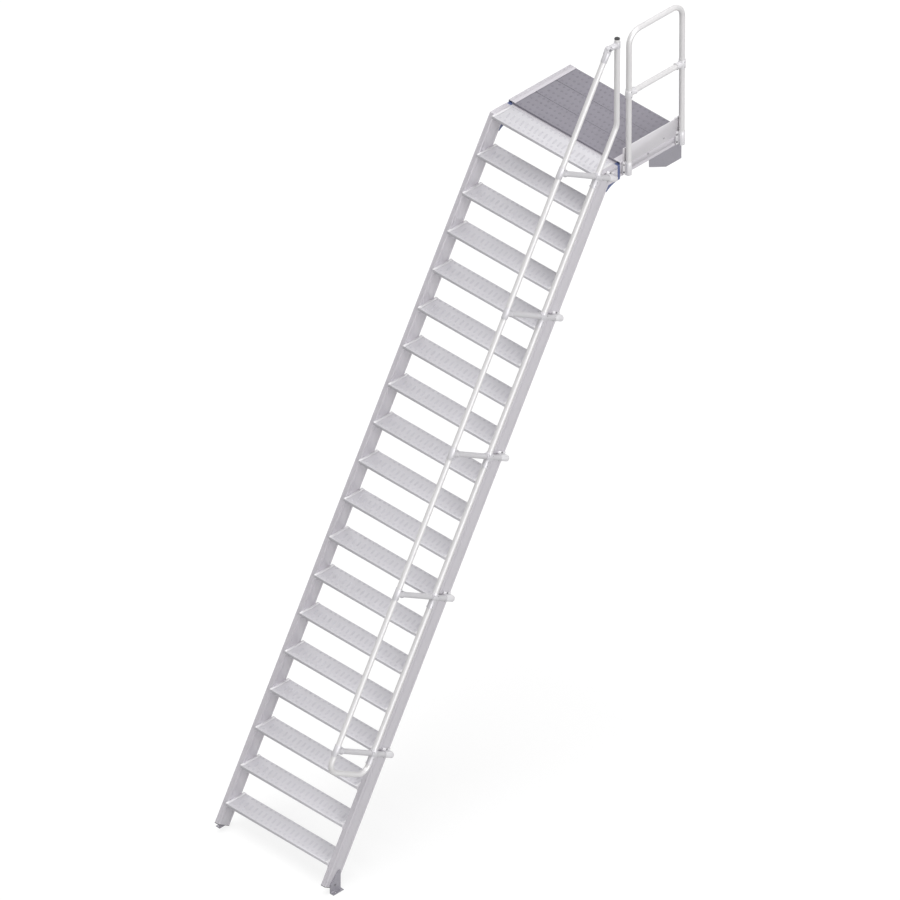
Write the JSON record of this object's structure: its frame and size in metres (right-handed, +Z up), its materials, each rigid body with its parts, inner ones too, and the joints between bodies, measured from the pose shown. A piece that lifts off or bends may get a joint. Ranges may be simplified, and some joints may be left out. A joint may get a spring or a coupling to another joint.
{
  "type": "platform stair",
  "caption": "Steep fixed aluminium stair with open risers, a small landing platform with a guard rail and toe board, and a tubular handrail on its right side.",
  "frame": {"origin": "on the floor at the middle of the left foot flange's underside", "axes": "+Z up, +Y horizontal up the stair towards the wall, +X across the stair to the handrail side"},
  "size_m": [1.175, 3.4735, 5.834],
  "materials": {
    "aluminium_profile": "satin extruded",
    "tread_sheet": "pressed anti-slip pattern",
    "deck_sheet": "pressed anti-slip pattern",
    "rail_tube": "satin",
    "post_tube": "satin",
    "cast_fitting": "cast",
    "blue_plastic": "moulded",
    "black_plastic": "moulded",
    "galvanised_steel": "galvanised"
  },
  "bodies": {
    "root": {"left_stringer": "aluminium_profile", "right_stringer": "aluminium_profile", "left_stringer_head": "aluminium_profile", "right_stringer_head": "aluminium_profile", "platform_left_beam": "aluminium_profile", "platform_right_beam": "aluminium_profile", "platform_front_beam": "aluminium_profile", "platform_rear_beam": "aluminium_profile", "toe_board": "aluminium_profile", "tread_01": "tread_sheet", "tread_02": "tread_sheet", "tread_03": "tread_sheet", "tread_04": "tread_sheet", "tread_05": "tread_sheet", "tread_06": "tread_sheet", "tread_07": "tread_sheet", "tread_08": "tread_sheet", "tread_09": "tread_sheet", "tread_10": "tread_sheet", "tread_11": "tread_sheet", "tread_12": "tread_sheet", "tread_13": "tread_sheet", "tread_14": "tread_sheet", "tread_15": "tread_sheet", "tread_16": "tread_sheet", "tread_17": "tread_sheet", "tread_18": "tread_sheet", "tread_19": "tread_sheet", "platform_deck": "deck_sheet", "upper_rail": "rail_tube", "knee_rail": "rail_tube", "return_bend": "rail_tube", "guard_rail": "rail_tube", "guard_mid_rail": "rail_tube", "handrail_post_1": "post_tube", "handrail_post_2": "post_tube", "handrail_post_3": "post_tube", "handrail_post_4": "post_tube", "handrail_post_5": "post_tube", "top_post": "post_tube", "rail_tees": "cast_fitting", "knee_sleeves": "cast_fitting", "elbow_stub": "cast_fitting", "swivel_elbow": "cast_fitting", "guard_sleeves": "cast_fitting", "post_clamps": "cast_fitting", "guard_clamps": "cast_fitting", "toe_board_clip": "cast_fitting", "left_tread_brackets": "cast_fitting", "right_tread_brackets": "cast_fitting", "left_corner_gusset": "blue_plastic", "right_corner_gusset": "blue_plastic", "post_cap": "black_plastic", "stringer_end_caps": "black_plastic", "left_foot": "galvanised_steel", "right_foot": "galvanised_steel", "left_wall_bracket": "galvanised_steel", "right_wall_bracket": "galvanised_steel"}
  },
  "joints": []
}
